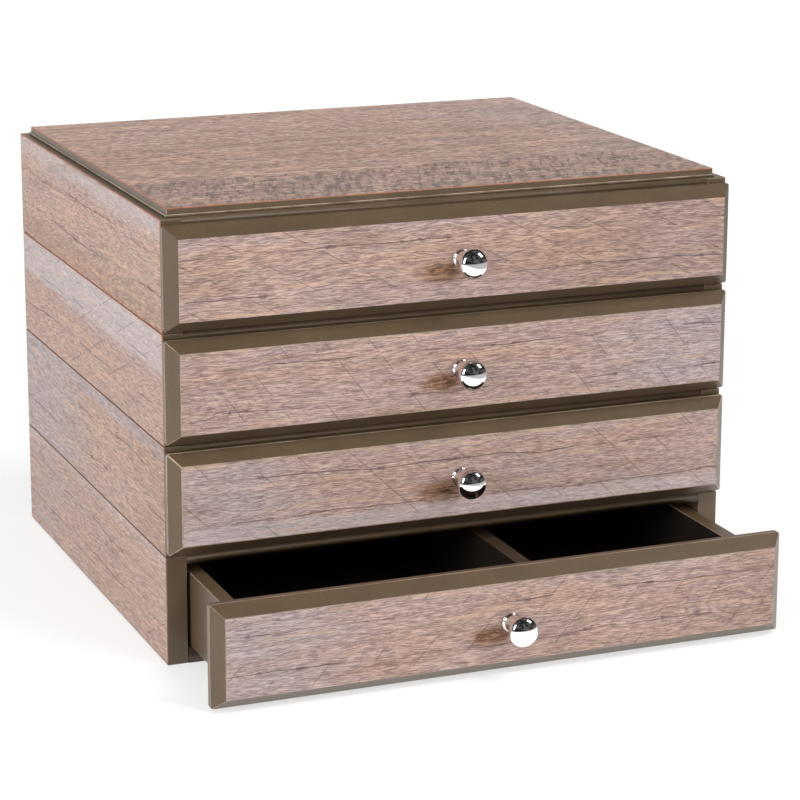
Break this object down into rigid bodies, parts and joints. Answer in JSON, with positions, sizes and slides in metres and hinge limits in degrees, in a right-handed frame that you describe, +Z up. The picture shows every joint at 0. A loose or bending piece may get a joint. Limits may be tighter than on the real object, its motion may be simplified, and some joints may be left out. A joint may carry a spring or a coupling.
{
  "type": "stacking desktop drawer organiser",
  "caption": "Stack of nesting wooden drawer modules with wood-print faces, bevelled drawer fronts, painted edges and round metal knobs.",
  "frame": {"origin": "bottom centre of the whole object's box at rest, with the bottom drawer pulled 77 mm out", "axes": "+X to the right, -Y out of the drawers' fronts, +Z up"},
  "size_m": [0.368, 0.4318, 0.2769],
  "materials": {
    "oak_laminate": "satin weathered-oak print",
    "taupe_paint": "satin olive-taupe paint",
    "chrome": "polished",
    "zinc_steel": "zinc plated"
  },
  "bodies": {
    "tier1_case": {"tier1_left_side": "oak_laminate", "tier1_right_side": "oak_laminate", "tier1_top_board": "oak_laminate", "tier1_front_rail": "taupe_paint", "tier1_bottom_panel": "taupe_paint", "tier1_back_panel": "taupe_paint"},
    "drawer1": {"drawer1_front": "oak_laminate", "drawer1_left_side": "taupe_paint", "drawer1_right_side": "taupe_paint", "drawer1_back": "taupe_paint", "drawer1_bottom": "taupe_paint", "drawer1_divider": "taupe_paint", "drawer1_knob": "chrome", "drawer1_knob_screw": "zinc_steel"},
    "tier2_case": {"tier2_left_side": "oak_laminate", "tier2_right_side": "oak_laminate", "tier2_top_board": "oak_laminate", "tier2_front_rail": "taupe_paint", "tier2_bottom_panel": "taupe_paint", "tier2_back_panel": "taupe_paint"},
    "drawer2": {"drawer2_front": "oak_laminate", "drawer2_left_side": "taupe_paint", "drawer2_right_side": "taupe_paint", "drawer2_back": "taupe_paint", "drawer2_bottom": "taupe_paint", "drawer2_divider": "taupe_paint", "drawer2_knob": "chrome", "drawer2_knob_screw": "zinc_steel"},
    "tier3_case": {"tier3_left_side": "oak_laminate", "tier3_right_side": "oak_laminate", "tier3_top_board": "oak_laminate", "tier3_front_rail": "taupe_paint", "tier3_bottom_panel": "taupe_paint", "tier3_back_panel": "taupe_paint"},
    "drawer3": {"drawer3_front": "oak_laminate", "drawer3_left_side": "taupe_paint", "drawer3_right_side": "taupe_paint", "drawer3_back": "taupe_paint", "drawer3_bottom": "taupe_paint", "drawer3_divider": "taupe_paint", "drawer3_knob": "chrome", "drawer3_knob_screw": "zinc_steel"},
    "tier4_case": {"tier4_left_side": "oak_laminate", "tier4_right_side": "oak_laminate", "tier4_top_board": "oak_laminate", "tier4_front_rail": "taupe_paint", "tier4_bottom_panel": "taupe_paint", "tier4_back_panel": "taupe_paint"},
    "drawer4": {"drawer4_front": "oak_laminate", "drawer4_left_side": "taupe_paint", "drawer4_right_side": "taupe_paint", "drawer4_back": "taupe_paint", "drawer4_bottom": "taupe_paint", "drawer4_divider": "taupe_paint", "drawer4_knob": "chrome", "drawer4_knob_screw": "zinc_steel"}
  },
  "joints": [
    {"name": "tier2_lift", "type": "slide", "parent": "tier1_case", "child": "tier2_case", "axis": [0, 0, 1], "range_m": [0, 0.03]},
    {"name": "tier3_lift", "type": "slide", "parent": "tier2_case", "child": "tier3_case", "axis": [0, 0, 1], "range_m": [0, 0.03]},
    {"name": "tier4_lift", "type": "slide", "parent": "tier3_case", "child": "tier4_case", "axis": [0, 0, 1], "range_m": [0, 0.03]},
    {"name": "drawer1_slide", "type": "slide", "parent": "tier1_case", "child": "drawer1", "axis": [0, -1, 0], "range_m": [-0.077, 0.143]},
    {"name": "drawer2_slide", "type": "slide", "parent": "tier2_case", "child": "drawer2", "axis": [0, -1, 0], "range_m": [0, 0.22]},
    {"name": "drawer3_slide", "type": "slide", "parent": "tier3_case", "child": "drawer3", "axis": [0, -1, 0], "range_m": [0, 0.22]},
    {"name": "drawer4_slide", "type": "slide", "parent": "tier4_case", "child": "drawer4", "axis": [0, -1, 0], "range_m": [0, 0.22]}
  ]
}
